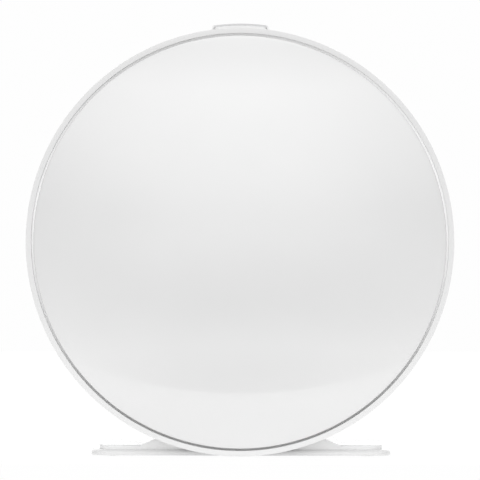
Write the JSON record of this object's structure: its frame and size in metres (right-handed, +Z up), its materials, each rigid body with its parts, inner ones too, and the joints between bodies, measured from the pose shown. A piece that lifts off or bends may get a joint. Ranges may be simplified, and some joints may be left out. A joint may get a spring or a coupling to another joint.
{
  "type": "smart speaker",
  "caption": "Round table-top smart speaker: glossy domed front in a slim light ring, press bar on top, sound outlet and controls behind, low ramped stand.",
  "frame": {"origin": "on the floor, under the middle of the whole part's box", "axes": "+Z up, the domed front faces -Y, +X to the right of someone who looks at the front"},
  "size_m": [0.22, 0.086, 0.2238],
  "materials": {
    "gloss_white": "gloss white moulded front",
    "satin_white": "satin white moulded housing",
    "stand_white": "satin white stand with soft highlights",
    "cover_white": "fine matte white back cover",
    "opal": "translucent opal light guide",
    "black_plastic": "black glass-filled structural plastic",
    "grey_plastic": "grey moulded plastic",
    "soft_pad": "soft white silicone",
    "clear_silicone": "pale silicone",
    "black_rubber": "black rubber",
    "foot_rubber": "grey non-slip rubber",
    "foam": "black closed foam gasket",
    "cloth": "dark woven acoustic cloth",
    "spider_cloth": "resin-stiffened woven cloth",
    "cone_paper": "black pressed paper pulp",
    "board_green": "green laminate circuit board",
    "flex_orange": "amber polyimide ribbon",
    "steel": "zinc-plated steel",
    "tin": "tinned pressed steel",
    "ferrite": "nickel-coated magnet",
    "aluminium": "extruded aluminium",
    "copper": "copper winding on its tube",
    "lamp": "lamp package with a pale phosphor"
  },
  "bodies": {
    "speaker": {"front_dome": "gloss_white", "rim_ring": "satin_white", "light_guide_ring": "opal", "light_ring_board": "board_green", "light_ring_lamps": "lamp", "front_frame": "black_plastic", "frame_screws": "steel", "rear_housing": "satin_white", "rear_cover": "cover_white", "rear_cover_screws": "steel", "acoustic_cloth": "cloth", "speaker_box": "black_plastic", "box_gasket": "foam", "driver_baffle": "black_plastic", "box_screws": "steel", "driver_gasket": "foam", "driver_basket": "steel", "magnet_cup": "steel", "driver_magnet": "ferrite", "pole_plate": "steel", "surround": "black_rubber", "spider": "spider_cloth", "driver_screws": "steel", "key_springs": "clear_silicone", "key_switches": "tin", "key_board": "board_green", "top_bracket": "black_plastic", "mic_boards": "board_green", "mic_capsules": "tin", "mic_boots": "black_rubber", "main_board": "board_green", "shield_can": "tin", "wireless_module": "tin", "heat_spreader": "aluminium", "board_connectors": "grey_plastic", "antennas": "copper", "control_switches": "tin", "mute_switch": "tin", "control_board": "board_green", "inlet_board": "board_green", "board_screws": "steel", "power_inlet": "black_plastic", "control_ribbon": "flex_orange", "stand_tray": "stand_white", "stand_saddle": "stand_white", "stand_weight": "steel", "stand_feet": "foot_rubber", "stand_screws": "steel", "tray_screws": "steel"},
    "press_bar": {"key_cap": "satin_white", "key_pad": "soft_pad"},
    "rocker": {"volume_rocker": "satin_white", "rocker_pin": "steel"},
    "mute": {"mute_slider": "satin_white", "mute_lever": "black_plastic"},
    "driver_cone": {"cone": "cone_paper", "dust_cap": "cone_paper", "voice_coil": "copper"}
  },
  "joints": [
    {"name": "press_bar_press", "type": "slide", "parent": "speaker", "child": "press_bar", "axis": [0, 0, -1], "range_m": [0, 0.0006], "stiffness_N_per_m": 2500, "springref_m": -0.0002, "deforming": ["key_springs"]},
    {"name": "rocker_tilt", "type": "hinge", "parent": "speaker", "child": "rocker", "pos_m": [-0.0125, 0.031, 0.1678], "axis": [0, 0, 1], "range_deg": [-3.5, 3.5], "stiffness_Nm_per_rad": 0.3},
    {"name": "mute_slide", "type": "slide", "parent": "speaker", "child": "mute", "axis": [1, 0, 0], "range_m": [0, 0.003]},
    {"name": "cone_stroke", "type": "slide", "parent": "speaker", "child": "driver_cone", "axis": [0, 1, 0], "range_m": [-0.0025, 0.0025], "stiffness_N_per_m": 900, "deforming": ["surround", "spider"]}
  ]
}
